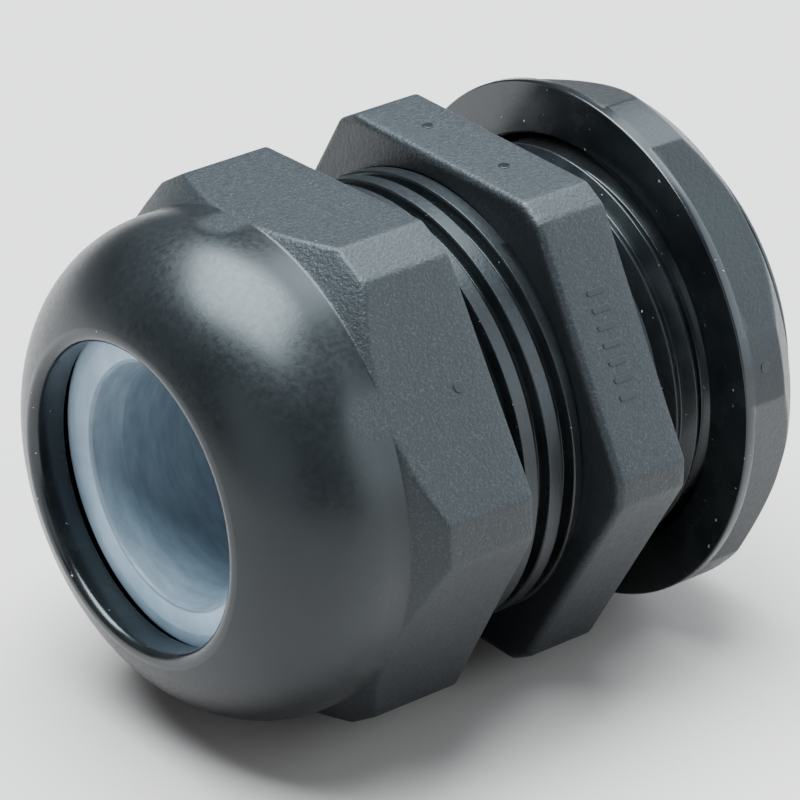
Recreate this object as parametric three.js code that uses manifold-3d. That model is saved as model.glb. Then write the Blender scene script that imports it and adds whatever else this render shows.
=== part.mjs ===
// A polyamide cable gland in the loosened state, in millimetres.
// The gland's axis is X: the domed cap nut is towards -X and the entry thread towards +X.
// The origin is on the axis, in the rear face of the body's hexagon, which seals on the panel.
// +Z is the normal of the body hexagon's top flat.

import * as THREE from "three";
import { mergeVertices } from "three/addons/utils/BufferGeometryUtils.js";
import Module from "manifold-3d";

// Driving dimensions

const FLATS = 27; // spanner size of the cap nut, the body and the locknut
const SEGMENTS = 48; // facets around a turned surface
const ARC_STEPS = 8; // facets along a rounded outline

const BODY = {
  hexLength: 4.45, corner: 15.15, edge: 0.4, stemEnd: -13.0,
  seatRadius: 9.35, seatEnd: -3.7, boreRadius: 8.2,
};
const ENTRY = { length: 11.6, chamfer: 0.6, bandLength: 0.3, bandRadius: 11.3 };

const CAP = {
  rear: -9.95, hexFront: -16.8, corner: 14.9, turn: -2.7,
  domeRadius: 13.55, domeArc: 6.6, domeArcX: -18.1,
  mouthRadius: 8.4, lipRadius: 0.45, lipBack: -22.3, coneFront: 9.3, coneRear: 12.0, coneRearX: -19.0,
  reliefX: -18.3, threadEnd: -15.2, rearCountersink: 0.35,
};

const INSERT = {
  front: -22.0, rear: -9.2, flangeRadius: 9.0, flangeLength: 1.8, flangeTaper: 0.6,
  radius: 8.35, rearRadius: 8.1, rearTaper: 0.8, boreRadius: 6.2, lip: 0.5,
};

const FINGERS = {
  count: 16, root: -13.3, tip: -16.9, shoulder: -15.2,
  inner: 9.35, outer: 11.0, tipOuter: 9.65, width: 2.9,
};

const LOCKNUT = {
  front: 4.88, rear: 9.0, radius: 14.5, flats: 26.8, cornerTurn: 15.6,
  chamferLength: 1.4, chamferDepth: 1.1,
  collarLength: 0.35, collarEdge: 0.1, collarBore: 11.65, gap: 0.27, countersink: 0.4,
};

// A thread form is one pitch of crest, flank, root and flank. Its phase is where the front edge
// of a crest crosses the top of the part.
const CAP_THREAD = {
  pitch: 1.65, crest: 12.25, root: 11.45, crestWidth: 0.8, flankWidth: 0.12, phase: -7.0,
};
const ENTRY_THREAD = {
  pitch: 1.411, crest: 11.25, root: 10.6, crestWidth: 0.12, flankWidth: 0.55, phase: 2.58,
};
const CAP_THREAD_PLAY = { radial: 0.3, axial: 0.17 };
const ENTRY_THREAD_PLAY = { radial: 0.25, axial: 0 };

const BLACK_POLYAMIDE = { color: 0x2b2e31, roughness: 0.5, metalness: 0 };
const GLOSS_POLYAMIDE = { color: 0x16181a, roughness: 0.25, metalness: 0 };
const GREY_RUBBER = { color: 0x8b98a5, roughness: 0.6, metalness: 0 };

// Solid helpers

const wasm = await Module();
wasm.setup();

function solidFrom(vertProperties, triVerts) {
  return new wasm.Manifold(new wasm.Mesh({ numProp: 3, vertProperties, triVerts }));
}

function solid(geometry) {
  geometry.deleteAttribute("normal");
  geometry.deleteAttribute("uv");
  const merged = mergeVertices(geometry, 1e-4);
  const positions = new Float32Array(merged.attributes.position.array);
  return solidFrom(positions, new Uint32Array(merged.index.array));
}

function geometryOf(manifold) {
  const { vertProperties, triVerts } = manifold.getMesh();
  const geometry = new THREE.BufferGeometry();
  geometry.setAttribute("position", new THREE.BufferAttribute(vertProperties, 3));
  geometry.setIndex(new THREE.BufferAttribute(triVerts, 1));
  geometry.computeVertexNormals();
  return geometry;
}

// A solid of revolution about X. The outline is a list of [x, radius] points, from the
// front to the rear along its outer side; a ring's outline comes back along its bore.
function turned(outline) {
  const points = outline.map(([x, radius]) => new THREE.Vector2(radius, x));
  const geometry = new THREE.LatheGeometry(points, SEGMENTS);
  return solid(geometry.rotateZ(-Math.PI / 2));
}

function ring(outline) {
  return turned([...outline, outline[0]]);
}

// Points along an arc about [x, radius], between two angles in degrees from the +X direction.
function arc(x, radius, size, from, to) {
  const points = [];
  for (let i = 0; i <= ARC_STEPS; i++) {
    const angle = THREE.MathUtils.degToRad(from + ((to - from) * i) / ARC_STEPS);
    points.push([x + size * Math.cos(angle), radius + size * Math.sin(angle)]);
  }
  return points;
}

// A hexagonal bar along X whose corners are cut off flat at a distance from the axis, with
// bevelled end edges. At turn 0 its top is a flat; turn is in degrees, right-handed about +X.
function hexagon(flats, corner, front, rear, turn, edge = 0) {
  const half = flats / 2;
  const cutHalf = (half / Math.cos(Math.PI / 6) - corner) * Math.tan(Math.PI / 3);
  const shape = new THREE.Shape();
  for (let i = 0; i < 6; i++) {
    const direction = (i * Math.PI) / 3;
    for (const side of [-1, 1]) {
      const x = corner * Math.cos(direction) - side * cutHalf * Math.sin(direction);
      const y = corner * Math.sin(direction) + side * cutHalf * Math.cos(direction);
      if (i === 0 && side === -1) shape.moveTo(x, y);
      else shape.lineTo(x, y);
    }
  }
  const geometry = new THREE.ExtrudeGeometry(shape, {
    depth: rear - front - 2 * edge,
    bevelEnabled: edge > 0,
    bevelThickness: edge,
    bevelSize: edge,
    bevelOffset: -edge,
    bevelSegments: 2,
  });
  geometry.rotateY(Math.PI / 2).rotateX(Math.PI / 2 + THREE.MathUtils.degToRad(turn));
  return solid(geometry.translate(front + edge, 0, 0));
}

// A helical rod of a thread form, longer than from front to rear by up to two pitches at each
// end, so that its ends can be cut off.
function threadRod(form, front, rear) {
  const { pitch, crest, root, crestWidth, flankWidth, phase } = form;
  const start = phase + Math.floor((front - phase) / pitch - 1) * pitch;
  const turns = Math.ceil((rear - start) / pitch) + 1;
  const outline = [
    [0, crest], [crestWidth, crest], [crestWidth + flankWidth, root], [pitch - flankWidth, root],
  ];
  const columns = outline.length;
  const last = turns * SEGMENTS;
  const positions = [];
  for (let j = 0; j <= last + SEGMENTS; j++) {
    const angle = (2 * Math.PI * j) / SEGMENTS;
    for (const [offset, radius] of outline) {
      const x = start + offset + (pitch * j) / SEGMENTS;
      positions.push(x, -radius * Math.sin(angle), radius * Math.cos(angle));
    }
  }
  // Column 4 of a row is column 0 one turn later.
  const vertex = (j, k) => (k < columns ? j * columns + k : (j + SEGMENTS) * columns);
  const frontTip = positions.length / 3;
  positions.push(start - pitch, 0, 0);
  const rearTip = frontTip + 1;
  positions.push(start + (turns + 2) * pitch, 0, 0);

  const triangles = [];
  for (let j = 0; j < last; j++) {
    for (let k = 0; k < columns; k++) {
      const [a, b, c, d] = [vertex(j, k), vertex(j + 1, k), vertex(j + 1, k + 1), vertex(j, k + 1)];
      triangles.push(a, b, c, a, c, d);
    }
  }
  for (let j = 0; j < SEGMENTS; j++) {
    triangles.push(frontTip, vertex(j + 1, 0), vertex(j, 0));
    const k = last - SEGMENTS + j;
    triangles.push(rearTip, vertex(k, columns), vertex(k + 1, columns));
  }
  for (let k = 0; k < columns; k++) {
    triangles.push(frontTip, vertex(0, k), vertex(0, k + 1));
    triangles.push(rearTip, vertex(last, k + 1), vertex(last, k));
  }
  // The first and last rows past the strip have columns that no face uses.
  return solidFrom(...compact(positions, triangles));
}

function compact(positions, triangles) {
  const kept = new Map();
  const used = [];
  const renumbered = triangles.map((index) => {
    if (!kept.has(index)) {
      kept.set(index, kept.size);
      used.push(...positions.slice(index * 3, index * 3 + 3));
    }
    return kept.get(index);
  });
  return [new Float32Array(used), new Uint32Array(renumbered)];
}

// The form that cuts a nut's thread: the male form with running play all round.
function nutForm(form, play) {
  return {
    ...form,
    crest: form.crest + play.radial,
    root: form.root + play.radial,
    crestWidth: form.crestWidth + 2 * play.axial,
    phase: form.phase - play.axial,
  };
}

// Pieces

function glandBody() {
  const { hexLength, corner, edge, stemEnd, seatRadius, seatEnd, boreRadius } = BODY;
  const panelSide = turned([[-2 * hexLength, 0], [-2 * hexLength, FLATS], [0, FLATS], [0, 0]]);
  const hex = hexagon(FLATS, corner, -hexLength, 2 * edge, 0, edge).intersect(panelSide);

  const stemChamfer = CAP_THREAD.crest - CAP_THREAD.root;
  const stemBlank = turned([
    [stemEnd, 0], [stemEnd, CAP_THREAD.root], [stemEnd + stemChamfer, CAP_THREAD.crest + 0.1],
    [-1, CAP_THREAD.crest + 0.1], [-1, 0],
  ]);
  const stem = threadRod(CAP_THREAD, stemEnd, -1).intersect(stemBlank);

  const { length, chamfer, bandLength, bandRadius } = ENTRY;
  const entryBlank = turned([
    [-1, 0], [-1, ENTRY_THREAD.crest + 0.1], [length - chamfer, ENTRY_THREAD.crest + 0.1],
    [length, ENTRY_THREAD.crest - chamfer], [length, 0],
  ]);
  const entry = threadRod(ENTRY_THREAD, -1, length).intersect(entryBlank);
  const band = turned([[-1, 0], [-1, bandRadius], [bandLength, bandRadius], [bandLength, 0]]);

  const bore = turned([
    [stemEnd - 1, 0], [stemEnd - 1, seatRadius], [seatEnd, seatRadius], [seatEnd + 1, boreRadius],
    [length + 1, boreRadius], [length + 1, 0],
  ]);
  return hex.add(stem).add(band).add(entry).subtract(bore);
}

function capNut() {
  const { rear, hexFront, corner, turn, domeRadius, domeArc, domeArcX, mouthRadius, lipRadius } = CAP;
  const half = FLATS / 2;
  const hexReach = 3;
  const chamfer = turned([
    [hexFront, 0], [hexFront, half], [hexFront + hexReach, half + hexReach],
    [rear, half + hexReach], [rear, 0],
  ]);
  const hex = hexagon(FLATS, corner, hexFront, rear, turn).intersect(chamfer);

  // The dome rolls over into the mouth through a small rounded lip.
  const arcRadius = domeRadius - domeArc;
  const lipCentre = mouthRadius + lipRadius;
  const reach = domeArc - lipRadius;
  const lipAngle = THREE.MathUtils.radToDeg(Math.asin((lipCentre - arcRadius) / reach));
  const lipX = domeArcX - reach * Math.cos(THREE.MathUtils.degToRad(lipAngle));
  const dome = turned([
    [lipX, 0],
    ...arc(lipX, lipCentre, lipRadius, 270, 180 - lipAngle),
    ...arc(domeArcX, arcRadius, domeArc, 180 - lipAngle, 90).slice(1),
    [hexFront + 1, domeRadius], [hexFront + 1, 0],
  ]);

  const { lipBack, coneFront, coneRear, coneRearX, reliefX, threadEnd, rearCountersink } = CAP;
  const form = nutForm(CAP_THREAD, CAP_THREAD_PLAY);
  const depth = form.crest - form.root;
  // Behind the cone the cavity is wide enough for the stem's crests, then the nut's thread follows.
  const cavity = turned([
    [lipX - 2, 0], [lipX - 2, mouthRadius], [lipBack, mouthRadius], [lipBack, coneFront],
    [coneRearX, coneRear], [reliefX, form.crest], [threadEnd, form.crest],
    [threadEnd + depth, form.root],
    [rear - depth - rearCountersink, form.root], [rear - rearCountersink, form.crest + 0.1],
    [rear + 1, form.crest + 0.5], [rear + 1, 0],
  ]);
  const threadZone = turned([[threadEnd, 0], [threadEnd, half], [rear + 1, half], [rear + 1, 0]]);
  const threadCut = threadRod(form, threadEnd, rear + 1).intersect(threadZone);
  return hex.add(dome).subtract(cavity).subtract(threadCut);
}

function sealingInsert() {
  const { front, rear, flangeRadius, flangeLength, flangeTaper, radius } = INSERT;
  const { rearRadius, rearTaper, boreRadius, lip } = INSERT;
  return ring([
    [front, boreRadius + lip], [front, flangeRadius], [front + flangeLength, flangeRadius],
    [front + flangeLength + flangeTaper, radius], [rear - rearTaper, rearRadius],
    [rear, rearRadius - lip], [rear, boreRadius + lip], [rear - lip, boreRadius],
    [front + lip, boreRadius],
  ]);
}

// One clamping finger, at the top of the ring of fingers.
function clampFinger() {
  const { root, tip, inner, outer, tipOuter, shoulder, width } = FINGERS;
  const all = ring([
    [tip, inner], [tip, tipOuter], [shoulder, outer], [root, outer], [root, inner],
  ]);
  const slice = new THREE.BoxGeometry(2 * (root - tip), width, 2 * outer);
  slice.translate(tip, 0, outer);
  return all.intersect(solid(slice));
}

function locknutCollar() {
  const { front, radius, collarLength, collarEdge, collarBore } = LOCKNUT;
  const rear = front + collarLength;
  return ring([
    [front, collarBore], [front, radius - collarEdge], [front + collarEdge, radius],
    [rear, radius], [rear, collarBore],
  ]);
}

// A round blank with six flats. What is left of it between two flats is a corner, and
// cornerTurn is the angle of the first corner from the top.
function locknut() {
  const { front, rear, radius, flats, cornerTurn, chamferLength, chamferDepth } = LOCKNUT;
  const { collarLength, gap, countersink } = LOCKNUT;
  const start = front + collarLength + gap;
  const form = nutForm(ENTRY_THREAD, ENTRY_THREAD_PLAY);
  const blank = turned([
    [start, 0], [start, radius], [rear - chamferLength, radius], [rear, radius - chamferDepth],
    [rear, 0],
  ]);
  const nearSharp = flats / 2 / Math.cos(Math.PI / 6) - 0.01;
  const hex = hexagon(flats, nearSharp, start, rear, cornerTurn - 30);
  const bore = turned([
    [start - 1, 0], [start - 1, form.root], [rear - countersink, form.root],
    [rear + countersink, form.crest + 0.2], [rear + countersink, 0],
  ]);
  const threadZone = turned([[start - 1, 0], [start - 1, radius], [rear + 1, radius], [rear + 1, 0]]);
  const threadCut = threadRod(form, start - 1, rear + 1).intersect(threadZone);
  return blank.intersect(hex).subtract(bore).subtract(threadCut);
}

// Assembly

const gland = new THREE.Group();

function place(name, geometry, material, turn = 0) {
  const mesh = new THREE.Mesh(geometry, new THREE.MeshStandardMaterial(material));
  mesh.name = name;
  mesh.rotation.x = turn;
  gland.add(mesh);
}

place("gland_body", geometryOf(glandBody()), BLACK_POLYAMIDE);
place("cap_nut", geometryOf(capNut()), BLACK_POLYAMIDE);
place("sealing_insert", geometryOf(sealingInsert()), GREY_RUBBER);
place("locknut_collar", geometryOf(locknutCollar()), GLOSS_POLYAMIDE);
place("locknut", geometryOf(locknut()), GLOSS_POLYAMIDE);

const finger = geometryOf(clampFinger());
for (let i = 0; i < FINGERS.count; i++) {
  const name = `clamp_finger_${String(i + 1).padStart(2, "0")}`;
  place(name, finger, BLACK_POLYAMIDE, (2 * Math.PI * i) / FINGERS.count);
}

export default gland;
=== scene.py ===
"""The looks of a black plastic cable gland with a blue-grey seal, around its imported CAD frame.

Shapes are worked out in millimetres about the gland's axis, which is X, and become metres when
a mesh is made. An angle about the axis is 0 at +Z and grows right-handed about +X.
"""

import math

import bmesh
import bpy
import numpy as np
from mathutils import Matrix, Vector


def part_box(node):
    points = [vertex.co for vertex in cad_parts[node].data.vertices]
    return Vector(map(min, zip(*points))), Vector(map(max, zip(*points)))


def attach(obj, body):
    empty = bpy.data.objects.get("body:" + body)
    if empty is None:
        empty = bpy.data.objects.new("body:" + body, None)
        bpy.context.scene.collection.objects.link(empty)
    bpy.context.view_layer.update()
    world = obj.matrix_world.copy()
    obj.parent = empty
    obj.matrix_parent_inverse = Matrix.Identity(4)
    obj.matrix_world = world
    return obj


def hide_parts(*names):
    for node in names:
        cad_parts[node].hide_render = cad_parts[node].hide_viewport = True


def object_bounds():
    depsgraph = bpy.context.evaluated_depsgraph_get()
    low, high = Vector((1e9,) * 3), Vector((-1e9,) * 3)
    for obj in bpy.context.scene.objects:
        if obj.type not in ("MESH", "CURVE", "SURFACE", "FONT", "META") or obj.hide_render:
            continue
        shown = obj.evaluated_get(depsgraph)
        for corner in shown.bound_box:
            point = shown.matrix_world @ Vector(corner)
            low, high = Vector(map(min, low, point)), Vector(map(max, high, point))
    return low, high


MM = 0.001

# Sizes that the frame's boxes don't give. Radii and corners are distances from the axis, and turns
# are angles about it.

FLATS = 27.0
CAP_THREAD = {
    "pitch": 1.65, "crest": 12.25, "root": 11.45,
    "crest_width": 0.8, "flank_width": 0.12, "phase": -7.0,
}
ENTRY_THREAD = {
    "pitch": 1.411, "crest": 11.25, "root": 10.6,
    "crest_width": 0.12, "flank_width": 0.55, "phase": 2.58,
}
BODY = {
    "corner": 15.15, "hexagon_front": -4.45, "front_edge": 0.4, "rear_edge": 0.15,
    "thread_start": 0.4, "thread_full": 1.2, "thread_clear": 12.4,
    "band_length": 0.3, "entry_end": 0.1, "entry_full": 0.7,
    "seat": 9.35, "seat_start": 2.0, "seat_end": -3.7, "bore": 8.2,
}
CAP = {
    "corner": 14.9, "turn": -2.7, "dome": 13.55, "arc": 6.6, "skirt": 1.3, "shoulder": 6.85, "cone": 2.4,
    "mouth": 8.3, "lip": 0.5, "lip_length": 4.2, "edge": 0.2,
    "thread_length": 5.25, "thread_chamfer": 0.8, "rear_chamfer": 1.1, "play": 0.3,
}
SEAL = {
    "bore": 6.2, "lip": 0.45, "bead": 0.08, "funnel": 1.8,
    "flange_length": 1.8, "neck": 8.35, "tail": 8.1, "tail_end": 7.6,
}
LOCKNUT = {
    "flats": 26.8, "corner_turn": 15.6, "rim": 0.6, "edge": 0.12,
    "chamfer_length": 1.4, "chamfer_depth": 1.1, "face_width": 1.8,
    "thread_start": 0.5, "thread_full": 1.0, "play": 0.25,
}

# Moulding marks: bars in a row on one flat of the body, and dots

BARS = {"count": 7, "reach": 2.8, "length": 1.25, "width": 0.35, "flat": 60}
DOTS = {
    "radius": 0.32, "body_turns": (-13.9, 12.2), "cap_x": -12.1, "locknut_x": 6.4, "locknut_radius": 0.3,
}
MARK_HEIGHT = 0.045

# How much of the spark-eroded grain shows, from 0 to 1

GRAIN = {
    "flats": 1.0, "front_face": 0.4, "rear_face": 0.2, "cap_rear": 0.3, "locknut": 0.4, "thread": 0.3,
}

# The photograph's camera

CAMERA = {"azimuth": 39.07, "elevation": 27.82, "roll": 0.59, "distance": 258.61, "lens": 220.25}
AIM = (-6.55, 0.10, -0.03)

# Which of a piece's materials a ring of faces has

SMOOTH, GRAINED, GLOSSY = range(3)

# A radius well outside the gland

FAR = 99.0


# Outlines

def smooth_min(values, softness):
    """The lowest of some arrays, rounded where two of them cross."""
    values = np.array(values)
    low = values.min(axis=0)
    return low - softness * np.log(np.exp(-(values - low) / softness).sum(axis=0))


def hexagon_outline(angles, flats, corner, turn, softness=0.04):
    """Distance from the axis to a hexagonal bar with its corners cut off. At turn 0 its top is a flat."""
    least_lean = 0.3
    planes = []
    for k in range(6):
        for normal, distance in ((turn + 60 * k, flats / 2), (turn + 30 + 60 * k, corner)):
            lean = np.cos(np.radians(angles - normal))
            planes.append(np.where(lean > least_lean, distance / np.maximum(lean, least_lean), FAR))
    return smooth_min(planes, softness)


def hexagon_edges(flats, corner, turn):
    """The angles of the hexagon's long edges, one on each side of every cut corner."""
    cut_depth = flats / 2 / math.cos(math.pi / 6) - corner
    half = math.degrees(math.atan(cut_depth * math.tan(math.pi / 3) / corner))
    return [turn + 30 + 60 * k + side * half for k in range(6) for side in (-1, 1)]


def column_angles(edges, spacing=1.0):
    """Angles all round, closer together beside the long edges."""
    regular = np.arange(0, 360, spacing)
    beside = [edge + offset for edge in edges for offset in (-0.6, -0.3, -0.1, 0.1, 0.3, 0.6)]
    angles = np.unique(np.round(np.concatenate([regular, np.mod(beside, 360)]), 3))
    return np.append(angles, 360.0)


def filleted(corners, steps=6):
    """A path through corners (x, radius, fillet radius), with an arc for each filleted corner."""
    path = []
    for i, (x, r, fillet) in enumerate(corners):
        here = np.array([x, r], float)
        if fillet == 0 or i in (0, len(corners) - 1):
            path.append(here)
            continue
        before = np.array(corners[i - 1][:2], float) - here
        after = np.array(corners[i + 1][:2], float) - here
        before /= np.linalg.norm(before)
        after /= np.linalg.norm(after)
        half = math.acos(np.clip(before @ after, -1, 1)) / 2
        start = here + before * fillet / math.tan(half)
        end = here + after * fillet / math.tan(half)
        middle = here + (before + after) / np.linalg.norm(before + after) * fillet / math.sin(half)
        sweep = math.pi - 2 * half
        side, forward = start - middle, end - middle
        for k in range(steps + 1):
            t = sweep * k / steps
            path.append(middle + (math.sin(sweep - t) * side + math.sin(t) * forward) / math.sin(sweep))
    return path


def arc(x, radius, size, start, end, steps):
    """Points of an arc about (x, radius), with angles in degrees from +X."""
    angles = np.radians(np.linspace(start, end, steps))
    return [np.array([x + size * math.cos(a), radius + size * math.sin(a)]) for a in angles]


class Shell:
    """A closed skin about the axis, made of rings that follow a path along the outside and back."""

    def __init__(self, edges=(), spacing=1.0):
        self.angles = column_angles(edges, spacing)
        self.rings = []

    def ring(self, x, radius, finish=SMOOTH, grain=0.0):
        columns = np.ones_like(self.angles)
        self.rings.append((x * columns, radius * columns, finish, grain * columns))

    def path(self, points, finish=SMOOTH, grain=0.0):
        for x, radius in points:
            self.ring(x, radius, finish, grain)

    def face(self, x, start, end, shares, grain):
        """Rings across a flat face at x, at shares of the way from one radius to another."""
        for share in shares:
            self.ring(x, start + share * (end - start), GRAINED, grain)

    def thread(self, form, start, end, limit, play=0.0, backwards=False):
        """A helical surface from start to end. The limit shapes its ends, and play moves it outwards."""
        pitch = form["pitch"]
        first = form["phase"] + math.floor((start - form["phase"]) / pitch - 1) * pitch
        rows = []
        for turn in range(int((end - first) / pitch) + 2):
            for offset in thread_offsets(form):
                along = first + turn * pitch + offset + pitch * self.angles / 360
                x = np.clip(along, start, end)
                finish = GRAINED if offset < form["crest_width"] else GLOSSY
                radius = limit(x, thread_height(form, offset) + play)
                rows.append((x, radius, finish, 0 * x + GRAIN["thread"]))
        self.rings.extend(reversed(rows) if backwards else rows)

    def build(self, name, materials, body):
        """Joins the rings into a mesh, closes it on itself, and puts it on a CAD body."""
        x, radius, grain = (np.array([ring[i] for ring in self.rings]) for i in (0, 1, 3))
        turn = np.radians(self.angles)
        points = np.stack([x, -radius * np.sin(turn), radius * np.cos(turn)], axis=-1) * MM
        rings, columns = x.shape
        row = np.arange(rings)[:, None] * columns
        column = np.arange(columns - 1)[None, :]
        after = np.roll(row, -1, axis=0)
        quads = np.stack([row + column, row + column + 1, after + column + 1, after + column], axis=-1)
        mesh = bpy.data.meshes.new(name)
        mesh.from_pydata(points.reshape(-1, 3).tolist(), [], quads.reshape(-1, 4).tolist())
        finishes = np.repeat([ring[2] for ring in self.rings], columns - 1)
        mesh.polygons.foreach_set("material_index", finishes.astype(np.int32))
        layer = mesh.attributes.new("grain", "FLOAT", "POINT")
        layer.data.foreach_set("value", grain.reshape(-1).astype(np.float32))
        for material in materials:
            mesh.materials.append(material)
        weld(mesh)
        piece = bpy.data.objects.new(name, mesh)
        bpy.context.scene.collection.objects.link(piece)
        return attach(piece, body)


def thread_corners(form):
    """Along one pitch from the front edge of a crest: the crest's rear edge, and the root's two edges."""
    crest, flank = form["crest_width"], form["flank_width"]
    return [0, crest, crest + flank, form["pitch"] - flank]


def thread_offsets(form, beside=0.03):
    """Where along one pitch a thread's rings lie: at and beside its corners, and halfway between them."""
    corners = thread_corners(form)
    offsets = [corner + side * beside for corner in corners for side in (-1, 0, 1)]
    offsets += [(a + b) / 2 for a, b in zip(corners, corners[1:] + [form["pitch"]])]
    return sorted(offset % form["pitch"] for offset in offsets)


def thread_height(form, offset):
    """The thread's radius at an offset along one pitch."""
    crest, root = form["crest"], form["root"]
    corners = thread_corners(form) + [form["pitch"]]
    return float(np.interp(offset, corners, [crest, crest, root, root, crest]))


def weld(mesh):
    """Merges points in one place, drops the faces that this leaves empty, and shades the rest smooth."""
    work = bmesh.new()
    work.from_mesh(mesh)
    bmesh.ops.remove_doubles(work, verts=work.verts, dist=0.0004 * MM)
    for face in work.faces:
        face.smooth = True
    work.to_mesh(mesh)
    work.free()


def trim(*corners):
    """A limit for the crests of an outer thread: no higher than the path through (x, radius) corners."""
    xs, radii = zip(*corners)

    def limit(x, height):
        return np.minimum(height, np.interp(x, xs, radii))

    return limit


def bounded(*corners):
    """A limit for an inner thread: no lower than the path through (x, radius) corners."""
    xs, radii = zip(*corners)

    def limit(x, height):
        return np.maximum(height, np.interp(x, xs, radii))

    return limit


# Pieces

def millimetres(node):
    """The node's lowest and highest corners."""
    low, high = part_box(node)
    return low / MM, high / MM


def round_rear_edge(shell, x, outline, edge, angles):
    """Rings round a hexagon's rear edge, from its flats to its rear face at x."""
    for angle in np.radians(angles):
        back, inwards = edge * (1 - math.sin(angle)), edge * (1 - math.cos(angle))
        shell.ring(x - back, outline - inwards, GRAINED, GRAIN["flats"])


def make_body(materials):
    low, high = millimetres("gland_body")
    front, rear = low.x, high.x
    corner, seat, bore = BODY["corner"], BODY["seat"], BODY["bore"]
    shell = Shell(hexagon_edges(FLATS, corner, 0), spacing=1.5)
    outline = hexagon_outline(shell.angles, FLATS, corner, 0)

    # From the front bore's seat to the cap's thread
    root = CAP_THREAD["root"]
    hexagon_front, clear = BODY["hexagon_front"], BODY["thread_clear"]
    start = front + BODY["thread_start"]
    seat_start = front + BODY["seat_start"]
    shell.path(filleted([
        (seat_start, seat, 0), (front, seat, 0.25), (front, root - 0.4, 0.15), (start, root, 0),
    ]))
    full = front + BODY["thread_full"]
    limit = trim((start, root), (full, clear), (hexagon_front, clear))
    shell.thread(CAP_THREAD, start, hexagon_front, limit)

    # The hexagon
    inner = CAP_THREAD["crest"] + 0.05
    edge = BODY["front_edge"]
    shell.ring(hexagon_front, root, GRAINED, GRAIN["front_face"])
    shell.face(hexagon_front, inner, outline - edge * 1.4, np.linspace(0, 1, 6), GRAIN["front_face"])
    for angle in np.radians(np.linspace(0, 90, 7)):
        back, inwards = edge * (1 - math.cos(angle)), edge * (1 - math.sin(angle))
        shell.ring(hexagon_front + back, outline - inwards, GRAINED, GRAIN["flats"])
    rear_edge = BODY["rear_edge"]
    for x in np.linspace(hexagon_front + edge, -rear_edge, 6)[1:-1]:
        shell.ring(x, outline, GRAINED, GRAIN["flats"])
    round_rear_edge(shell, 0, outline, rear_edge, np.linspace(0, 90, 5))

    # The plain band and the entry thread
    crest, root = ENTRY_THREAD["crest"], ENTRY_THREAD["root"]
    band, clear = crest + 0.05, crest + 0.1
    shell.face(0, outline - rear_edge, band, np.linspace(0, 1, 5), GRAIN["rear_face"])
    start = BODY["band_length"]
    full, end = rear - BODY["entry_full"], rear - BODY["entry_end"]
    shell.ring(start, band)
    shell.ring(start, root)
    limit = trim((start, root), (start + 0.05, clear), (full, clear), (end, root - 0.1))
    shell.thread(ENTRY_THREAD, start, end, limit)

    # The entry's bore, back to the seat
    seat_end = BODY["seat_end"]
    shell.path(filleted([
        (end, root - 0.1, 0), (rear, root - 0.2, 0.1), (rear, bore, 0.35), (seat_end + 1, bore, 0.3),
        (seat_end, seat, 0.3), (seat_start + 0.1, seat, 0),
    ]))
    piece = shell.build("body_moulding", materials, "gland_body")
    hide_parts("gland_body")
    return piece


def make_cap(materials):
    rear = millimetres("cap_nut")[1].x
    corner, turn, dome, size = CAP["corner"], CAP["turn"], CAP["dome"], CAP["arc"]
    shoulder = rear - CAP["shoulder"]
    shell = Shell(hexagon_edges(FLATS, corner, turn))
    outline = hexagon_outline(shell.angles, FLATS, corner, turn)
    centre_x = shoulder - CAP["skirt"]
    centre_r = dome - size

    # The mouth's lip, the dome and the cone, with the flats cut into them
    lip, mouth = CAP["lip"], CAP["mouth"]
    lip_r = mouth + lip
    lean = math.degrees(math.asin((lip_r - centre_r) / (size - lip)))
    lip_x = centre_x - (size - lip) * math.cos(math.radians(lean))
    shell.path(arc(lip_x, lip_r, lip, 270, 180 - lean, 10))
    nose = arc(centre_x, centre_r, size, 180 - lean, 90, 48)[1:]
    cone_end = shoulder + CAP["cone"]
    skirt = filleted([
        (centre_x, dome, 0), (shoulder, dome, 0.25), (cone_end, dome + CAP["cone"], 0),
    ], steps=5)[1:]
    cone_start = skirt[-2]
    skirt = skirt[:-1] + [cone_start + (skirt[-1] - cone_start) * t for t in np.linspace(0.08, 1, 18)]
    for x, radius in nose + skirt:
        on_flats = np.clip((radius - outline) / 0.06 + 0.5, 0, 1)
        on_cone = np.clip((x - shoulder) / 0.1 + 0.5, 0, 1)
        radii = smooth_min([radius + 0 * outline, outline], 0.03)
        shell.ring(x, radii, GRAINED, np.maximum(on_flats, on_cone))

    # The flats, the rear edge and the rear face
    edge = CAP["edge"]
    for share in np.linspace(0.2, 1, 5):
        shell.ring(cone_end + share * (rear - edge - cone_end), outline, GRAINED, GRAIN["flats"])
    round_rear_edge(shell, rear, outline, edge, np.linspace(0, 90, 6)[1:])
    crest, root = CAP_THREAD["crest"] + CAP["play"], CAP_THREAD["root"] + CAP["play"]
    shell.face(rear, outline - edge, crest + 0.25, np.linspace(0.2, 1, 4), GRAIN["cap_rear"])

    # The inner thread, and the hollow in front of it
    thread_end = rear - CAP["thread_length"]
    thread_mouth = rear - 0.2
    limit = bounded(
        (thread_end, crest), (thread_end + CAP["thread_chamfer"], root),
        (rear - CAP["rear_chamfer"], root), (thread_mouth, crest),
    )
    shell.thread(CAP_THREAD, thread_end, thread_mouth, limit, CAP["play"], backwards=True)
    relief = centre_x - 0.2
    lip_back = centre_x - CAP["lip_length"]
    shell.path(filleted([
        (thread_end, crest, 0), (relief, crest, 0.4), (relief - 0.7, 12.0, 0.4), (lip_back, 9.3, 0.1),
        (lip_back, mouth + 0.2, 0.1), (lip_x, mouth, 0),
    ]))
    piece = shell.build("cap_moulding", materials, "cap_nut")
    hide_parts("cap_nut")
    return piece


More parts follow.
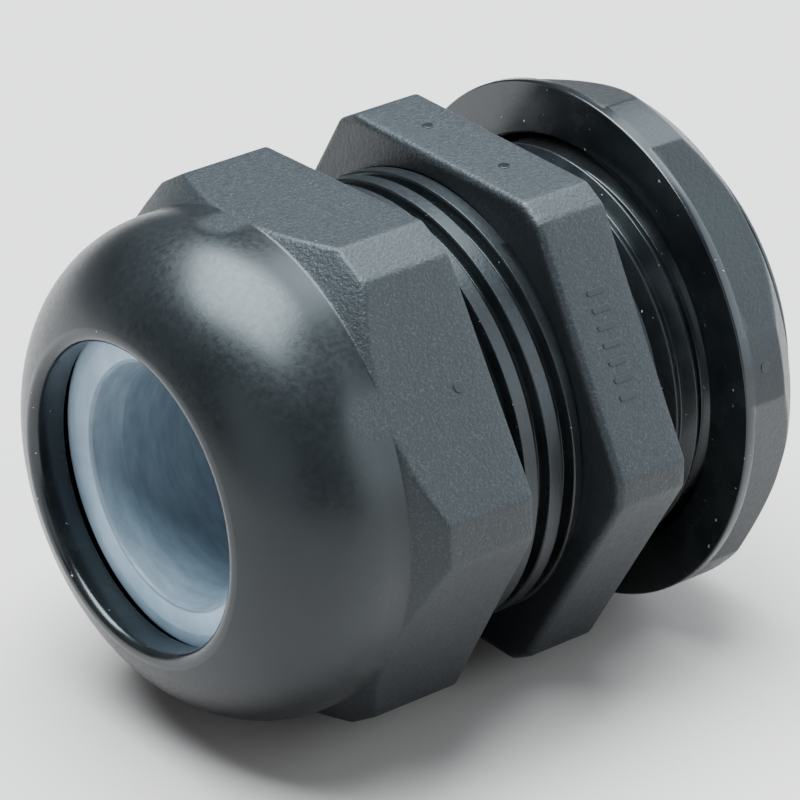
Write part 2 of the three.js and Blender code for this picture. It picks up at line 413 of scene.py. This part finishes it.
def make_seal(material):
    """A ring with a thin bead round its front edge and a bore that narrows behind it."""
    low, high = millimetres("sealing_insert")
    front, rear, flange = low.x, high.x, high.z
    bore, bead, neck = SEAL["bore"], SEAL["bead"], SEAL["neck"]
    lip = bore + SEAL["lip"]
    funnel_end = front + SEAL["funnel"]
    back = front + SEAL["flange_length"]
    shell = Shell(spacing=1.5)
    path = filleted([
        (funnel_end + 1, bore, 0), (funnel_end, bore, 0.5), (front + 2 * bead, lip - bead, 0.05),
        (front, lip, 0.04), (front, lip + bead, 0.04), (front + bead / 2, lip + 2 * bead, 0.08),
        (front + bead / 2, flange - 1.0, 0.2), (front + 2 * bead, flange, 0.3), (back, flange, 0.3),
        (back + 0.6, neck, 0.4), (rear - 0.8, SEAL["tail"], 0.3), (rear, SEAL["tail_end"], 0.2),
        (rear, bore + 0.5, 0.2), (rear - 0.5, bore, 0.3), ((front + rear) / 2, bore, 0),
    ])
    # A grain of 1 marks the front face, which the rubber paints paler as painted light.
    for x, radius in path:
        painted_light_face = x < front + 2 * bead and radius > lip + bead
        shell.ring(x, radius, grain=float(painted_light_face))
    piece = shell.build("seal_ring", [material], "sealing_insert")
    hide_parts("sealing_insert")
    return piece


def make_locknut(materials):
    """A round nut with six flats behind its rim, and a chamfered rear edge that the flats run into."""
    low, high = millimetres("locknut_collar")
    front, radius = low.x, high.z
    rear = millimetres("locknut")[1].x
    flats = LOCKNUT["flats"]
    half = math.degrees(math.acos(flats / 2 / radius))
    turn = LOCKNUT["corner_turn"] - 30
    edges = [turn + 60 * k + side * half for k in range(6) for side in (-1, 1)]
    shell = Shell(edges, spacing=0.75)
    sharp = hexagon_outline(shell.angles, flats, FAR, turn)
    round_bar = radius + 0 * shell.angles
    outline = smooth_min([sharp, round_bar], 0.02)
    play = LOCKNUT["play"]
    crest, root = ENTRY_THREAD["crest"] + play, ENTRY_THREAD["root"] + play

    # The front face, the round rim, and the step down to the flats
    start = front + LOCKNUT["thread_start"]
    step = front + LOCKNUT["rim"]
    shell.path([(start, crest - 0.1), (front, crest + 0.15)], GLOSSY)
    shell.path(filleted([
        (front, crest + 0.2, 0), (front, radius, LOCKNUT["edge"]), (step, radius, 0),
    ])[:-1], GLOSSY)
    depth = np.maximum(radius - outline, 0)
    bevel = 0.06
    for back, drop in ((bevel, 0), (0.02, 0.02), (0, bevel)):
        shell.ring(step - back, radius - np.minimum(depth, drop), GLOSSY, GRAIN["locknut"])
    for share in (0.5, 0.9):
        inwards = np.maximum(np.minimum(depth, bevel), depth * share)
        shell.ring(step + 0.05 * share, radius - inwards, GLOSSY)

    # The flats and the cone that cuts their rear corners
    length, depth_at_rear = LOCKNUT["chamfer_length"], LOCKNUT["chamfer_depth"]
    chamfer = rear - length
    for x in np.linspace(step + 0.1, chamfer - 0.1, 6):
        shell.ring(x, outline, GRAINED, GRAIN["locknut"])
    for x in np.linspace(chamfer - 0.06, rear - 0.05, 28):
        cone = radius - (x - chamfer) * depth_at_rear / length
        radii = smooth_min([sharp, round_bar, cone + 0 * sharp], 0.025)
        shell.ring(x, radii, GRAINED, GRAIN["locknut"])

    # The rear face and the inner thread
    middle = radius - LOCKNUT["face_width"]
    shell.path([(rear, radius - depth_at_rear - 0.08), (rear, middle), (rear, crest + 0.2)], GLOSSY)
    end = rear - 0.2
    full = front + LOCKNUT["thread_full"]
    limit = bounded((start, crest), (full, root), (rear - 0.7, root), (end, crest))
    shell.thread(ENTRY_THREAD, start, end, limit, play, backwards=True)
    piece = shell.build("locknut_moulding", materials, "locknut")
    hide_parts("locknut", "locknut_collar")
    return piece


# Marks: plain raised shapes where the real gland has moulded marks

def surface_frame(x, turn, distance):
    """A place on a flat or a corner, with the directions along the axis, around it and outwards."""
    angle = math.radians(turn)
    outwards = Vector((0, -math.sin(angle), math.cos(angle)))
    around = Vector((0, -math.cos(angle), -math.sin(angle)))
    return Vector((x, 0, 0)) + outwards * distance, Vector((1, 0, 0)), around, outwards


def raised_outline(work, place, outline, height):
    """A low plateau with sloping sides over an outline of (along, around) points."""
    origin, along, around, outwards = place
    middle = sum((Vector(point) for point in outline), Vector((0, 0))) / len(outline)
    rows = []
    for scale, level in ((1.0, -0.1), (1.0, 0.2), (0.97, 0.75), (0.9, 1.0)):
        shrunk = [middle + (Vector(point) - middle) * scale for point in outline]
        rows.append([work.verts.new((origin + along * u + around * v + outwards * level * height) * MM)
                     for u, v in shrunk])
    count = len(outline)
    for low, high in zip(rows, rows[1:]):
        for k in range(count):
            work.faces.new((low[k], low[(k + 1) % count], high[(k + 1) % count], high[k]))
    work.faces.new(rows[-1])
    work.faces.new(reversed(rows[0]))


def rounded_bar(u, v, length, width, steps=8):
    """The outline of a bar along the axis direction, with round ends."""
    straight = length / 2 - width / 2
    points = []
    for end in (1, -1):
        for k in range(steps + 1):
            angle = math.pi * (k / steps - 0.5)
            points.append((u + end * (straight + width / 2 * math.cos(angle)),
                           v + end * width / 2 * math.sin(angle)))
    return points


def disc(radius, steps=32):
    angles = [2 * math.pi * k / steps for k in range(steps)]
    return [(radius * math.cos(angle), radius * math.sin(angle)) for angle in angles]


def make_mark(name, places, outlines, material, body):
    """One piece that holds every outline at every place."""
    work = bmesh.new()
    for place in places:
        for outline in outlines:
            raised_outline(work, place, outline, MARK_HEIGHT)
    bmesh.ops.recalc_face_normals(work, faces=work.faces)
    mesh = bpy.data.meshes.new(name)
    work.to_mesh(mesh)
    work.free()
    mesh.materials.append(material)
    piece = bpy.data.objects.new(name, mesh)
    bpy.context.scene.collection.objects.link(piece)
    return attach(piece, body)


def make_marks(material, glossy_material):
    """A row of plain bars on one flat of the body, and plain dots elsewhere."""
    half = FLATS / 2
    middle = BODY["hexagon_front"] / 2
    offsets = np.linspace(-BARS["reach"], BARS["reach"], BARS["count"])
    bars = [rounded_bar(0, offset, BARS["length"], BARS["width"]) for offset in offsets]
    make_mark("body_bars", [surface_frame(middle, BARS["flat"], half)], bars, material, "gland_body")
    dot = disc(DOTS["radius"])
    places = []
    for turn in DOTS["body_turns"]:
        origin = surface_frame(middle, turn, half / math.cos(math.radians(turn)))[0]
        places.append((origin, Vector((1, 0, 0)), Vector((0, -1, 0)), Vector((0, 0, 1))))
    make_mark("body_dots", places, [dot], material, "gland_body")
    cap_flat = surface_frame(DOTS["cap_x"], 60 + CAP["turn"], half)
    make_mark("cap_dot", [cap_flat], [dot], material, "cap_nut")
    radius = millimetres("locknut_collar")[1].z - 0.01
    corner = surface_frame(DOTS["locknut_x"], LOCKNUT["corner_turn"] + 60, radius)
    small_dot = disc(DOTS["locknut_radius"])
    make_mark("locknut_dot", [corner], [small_dot], glossy_material, "locknut")


# Materials

BLUISH = (0.9, 0.97, 1.0, 1)


def add(tree, kind, inputs=None, **settings):
    """Adds a shader node. An input is a value or another node's output socket."""
    node = tree.nodes.new(kind)
    for key, value in settings.items():
        setattr(node, key, value)
    for key, value in (inputs or {}).items():
        if isinstance(value, bpy.types.NodeSocket):
            tree.links.new(value, node.inputs[key])
        else:
            node.inputs[key].default_value = value
    return node


def math_node(tree, operation, a, b):
    return add(tree, "ShaderNodeMath", {0: a, 1: b}, operation=operation).outputs[0]


def ramp(tree, value, low, high, start=0.0, end=1.0):
    """Maps value from low..high to start..end."""
    return add(tree, "ShaderNodeMapRange", {0: value, 1: low, 2: high, 3: start, 4: end}).outputs[0]


def blend_colours(tree, share, first, second):
    """From the first colour at share 0 to the second at share 1."""
    node = add(tree, "ShaderNodeMix", {0: share}, data_type="RGBA")
    for socket, colour in ((node.inputs[6], first), (node.inputs[7], second)):
        if isinstance(colour, bpy.types.NodeSocket):
            tree.links.new(colour, socket)
        else:
            socket.default_value = (*colour, 1)
    return node.outputs[2]


def noise(tree, place, per_mm, detail=2.0, roughness=0.5):
    """Noise with per_mm features in a millimetre."""
    inputs = {"Vector": place, "Scale": per_mm / MM, "Detail": detail, "Roughness": roughness}
    return add(tree, "ShaderNodeTexNoise", inputs).outputs[0]


def new_material(name):
    """A material with a bare shader, and the place on the gland that its textures are fixed to."""
    material = bpy.data.materials.new(name)
    material.use_nodes = True
    tree = material.node_tree
    tree.nodes.clear()
    shader = add(tree, "ShaderNodeBsdfPrincipled")
    output = add(tree, "ShaderNodeOutputMaterial")
    tree.links.new(shader.outputs[0], output.inputs[0])
    place = add(tree, "ShaderNodeTexCoord").outputs["Object"]
    return material, tree, shader, place


def feed(tree, shader, **sockets):
    """Gives the shader's sockets values or other nodes' outputs. An underscore stands for a space."""
    for name, value in sockets.items():
        socket = shader.inputs[name.replace("_", " ")]
        if isinstance(value, bpy.types.NodeSocket):
            tree.links.new(value, socket)
        else:
            socket.default_value = value


def with_dust(tree, place, colour, per_mm, threshold):
    """Adds a few pale specks to a colour: the higher the threshold, the fewer."""
    fine = noise(tree, place, per_mm, 3.0, 0.7)
    return blend_colours(tree, ramp(tree, fine, threshold, threshold + 0.02), colour, (0.5, 0.5, 0.48))


def grained_polyamide():
    """Spark-eroded grain where the mesh's grain is 1, with painted glints in its colour, and a smooth
    moulded skin where it is 0.
    """
    material, tree, shader, place = new_material("grained_black_polyamide")
    grain = add(tree, "ShaderNodeAttribute", attribute_name="grain").outputs["Fac"]
    pits = noise(tree, place, 5.0, 3.0, 0.65)
    glints = noise(tree, place, 8.5, 2.0, 0.6)
    mottle = noise(tree, place, 3.2, 4.0, 0.65)
    flow = noise(tree, place, 0.22, 2.0, 0.5)
    strength = ramp(tree, grain, 0, 1, 0.10, 1.0)
    bump = add(tree, "ShaderNodeBump", {"Strength": strength, "Distance": 0.045 * MM, "Height": pits})
    skin_rough = ramp(tree, mottle, 0.35, 0.65, 0.28, 0.38)
    rough = math_node(tree, "ADD", skin_rough, math_node(tree, "MULTIPLY", grain, 0.13))
    flow_share = ramp(tree, flow, 0.35, 0.65)
    skin = blend_colours(tree, flow_share, (0.005, 0.006, 0.0068), (0.0085, 0.010, 0.011))
    dark = blend_colours(tree, grain, skin, (0.010, 0.0118, 0.0132))
    # Pale specks on the grain are painted glints: highlights put into the base colour, not specks in the
    # plastic.
    glint_share = ramp(tree, glints, 0.52, 0.75)
    painted_glints = math_node(tree, "MULTIPLY", glint_share, math_node(tree, "MULTIPLY", grain, 0.3))
    grained = blend_colours(tree, painted_glints, dark, (0.085, 0.095, 0.103))
    colour = with_dust(tree, place, grained, 1.3, 0.765)
    feed(tree, shader, Base_Color=colour, Roughness=rough, Normal=bump.outputs[0])
    feed(tree, shader, Specular_Tint=BLUISH, IOR=1.42)
    return material


def glossy_polyamide():
    """A shiny moulded black with faint flow marks."""
    material, tree, shader, place = new_material("glossy_black_polyamide")
    ripple = noise(tree, place, 0.5, 2.0, 0.5)
    fine = noise(tree, place, 5.0, 2.0, 0.6)
    bump = add(tree, "ShaderNodeBump", {"Strength": 0.10, "Distance": 0.03 * MM, "Height": fine})
    rough = ramp(tree, ripple, 0.3, 0.7, 0.20, 0.30)
    ripple_share = ramp(tree, ripple, 0.3, 0.7)
    dark = blend_colours(tree, ripple_share, (0.004, 0.005, 0.0055), (0.008, 0.0095, 0.010))
    colour = with_dust(tree, place, dark, 2.2, 0.715)
    feed(tree, shader, Base_Color=colour, Roughness=rough, Normal=bump.outputs[0])
    feed(tree, shader, Specular_Tint=BLUISH)
    return material


def grey_rubber():
    """Blue-grey rubber, painted paler on its front face, where the mesh's grain is 1, as painted light,
    and darker in its bore as painted shade.
    """
    material, tree, shader, place = new_material("blue_grey_rubber")
    skin = add(tree, "ShaderNodeAttribute", attribute_name="grain").outputs["Fac"]
    cloud = noise(tree, place, 0.35, 3.0, 0.6)
    streaks = add(tree, "ShaderNodeMapping", {"Vector": place, "Scale": (2.0, 0.5, 0.5)}).outputs[0]
    streak = noise(tree, streaks, 0.9, 3.0, 0.6)
    fine = noise(tree, place, 6.0, 3.0, 0.6)
    bump = add(tree, "ShaderNodeBump", {"Strength": 0.2, "Distance": 0.03 * MM, "Height": fine})
    # The bore's colour is the rubber's blue-grey darkened as painted shade, and the front face's colour
    # is painted paler as painted light.
    shaded_bore = blend_colours(tree, ramp(tree, streak, 0.35, 0.65), (0.165, 0.225, 0.28), (0.225, 0.30, 0.365))
    face = blend_colours(tree, ramp(tree, cloud, 0.3, 0.7), (0.35, 0.48, 0.60), (0.48, 0.63, 0.77))
    rough = ramp(tree, fine, 0.3, 0.7, 0.42, 0.55)
    # skin here is the mesh's grain, 1 on the front face: it picks the painted light there and the painted
    # shade in the bore.
    painted_light_and_shade = blend_colours(tree, skin, shaded_bore, face)
    feed(tree, shader, Base_Color=painted_light_and_shade, Roughness=rough, Normal=bump.outputs[0])
    return material


def pale_floor():
    material, tree, shader = new_material("pale_floor")[:3]
    feed(tree, shader, Base_Color=(0.48, 0.435, 0.415, 1), Roughness=0.9)
    return material


# Stage

def make_floor():
    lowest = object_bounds()[0].z
    bpy.ops.mesh.primitive_plane_add(size=4, location=(0, 0, lowest))
    floor = bpy.context.object
    floor.name = "floor"
    floor.data.materials.append(pale_floor())


def make_light(name, direction, distance, width, height, power):
    """A soft light that shines on the gland from a direction. Lengths are in metres."""
    data = bpy.data.lights.new(name, "AREA")
    data.shape = "RECTANGLE"
    data.size, data.size_y = width, height
    data.energy = power
    data.color = (0.84, 0.94, 1.0)
    light = bpy.data.objects.new(name, data)
    aim = Vector(direction).normalized()
    light.location = aim * distance
    light.rotation_mode = "QUATERNION"
    light.rotation_quaternion = aim.to_track_quat("Z", "Y")
    bpy.context.scene.collection.objects.link(light)


def make_world():
    world = bpy.data.worlds.new("studio")
    world.use_nodes = True
    backdrop = world.node_tree.nodes["Background"]
    backdrop.inputs["Color"].default_value = (0.93, 0.96, 1.0, 1)
    backdrop.inputs["Strength"].default_value = 0.12
    bpy.context.scene.world = world


def make_camera():
    """The photograph's view: forward is level at elevation 0, and along +Y at azimuth 0."""
    azimuth, elevation = math.radians(CAMERA["azimuth"]), math.radians(CAMERA["elevation"])
    level = math.cos(elevation)
    forward = Vector((math.sin(azimuth) * level, math.cos(azimuth) * level, -math.sin(elevation)))
    data = bpy.data.cameras.new("camera")
    data.sensor_width = 36
    data.lens = CAMERA["lens"]
    data.clip_start, data.clip_end = 0.01, 10
    camera = bpy.data.objects.new("camera", data)
    camera.location = (Vector(AIM) - forward * CAMERA["distance"]) * MM
    camera.rotation_mode = "QUATERNION"
    roll = Matrix.Rotation(math.radians(CAMERA["roll"]), 3, "Z").to_quaternion()
    camera.rotation_quaternion = forward.to_track_quat("-Z", "Y") @ roll
    bpy.context.scene.collection.objects.link(camera)
    bpy.context.scene.camera = camera


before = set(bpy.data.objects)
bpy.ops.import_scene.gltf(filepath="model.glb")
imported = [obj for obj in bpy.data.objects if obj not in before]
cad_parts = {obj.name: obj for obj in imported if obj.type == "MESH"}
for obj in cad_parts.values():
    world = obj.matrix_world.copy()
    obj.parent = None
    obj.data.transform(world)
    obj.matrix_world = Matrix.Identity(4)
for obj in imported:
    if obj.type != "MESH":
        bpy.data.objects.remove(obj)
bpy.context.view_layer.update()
make_camera()

grained, glossy, rubber = grained_polyamide(), glossy_polyamide(), grey_rubber()
moulding = [glossy, grained, glossy]
make_body(moulding)
make_cap(moulding)
make_seal(rubber)
make_locknut([glossy, grained, glossy])
for name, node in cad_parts.items():
    if name.startswith("clamp_finger"):
        node.data.materials.clear()
        node.data.materials.append(grained)

make_floor()
make_world()
make_marks(grained, glossy)
make_light("overhead", (-0.07, 0.17, 0.98), 0.55, 0.50, 0.50, 19)
make_light("upper_right", (0.62, 0.16, 0.77), 0.55, 0.32, 0.32, 1.7)
make_light("right_card", (0.87, -0.34, 0.36), 0.6, 1.8, 0.5, 9.5)
make_light("front_card", (-0.95, -0.45, 0.30), 0.6, 0.5, 0.3, 0.6)
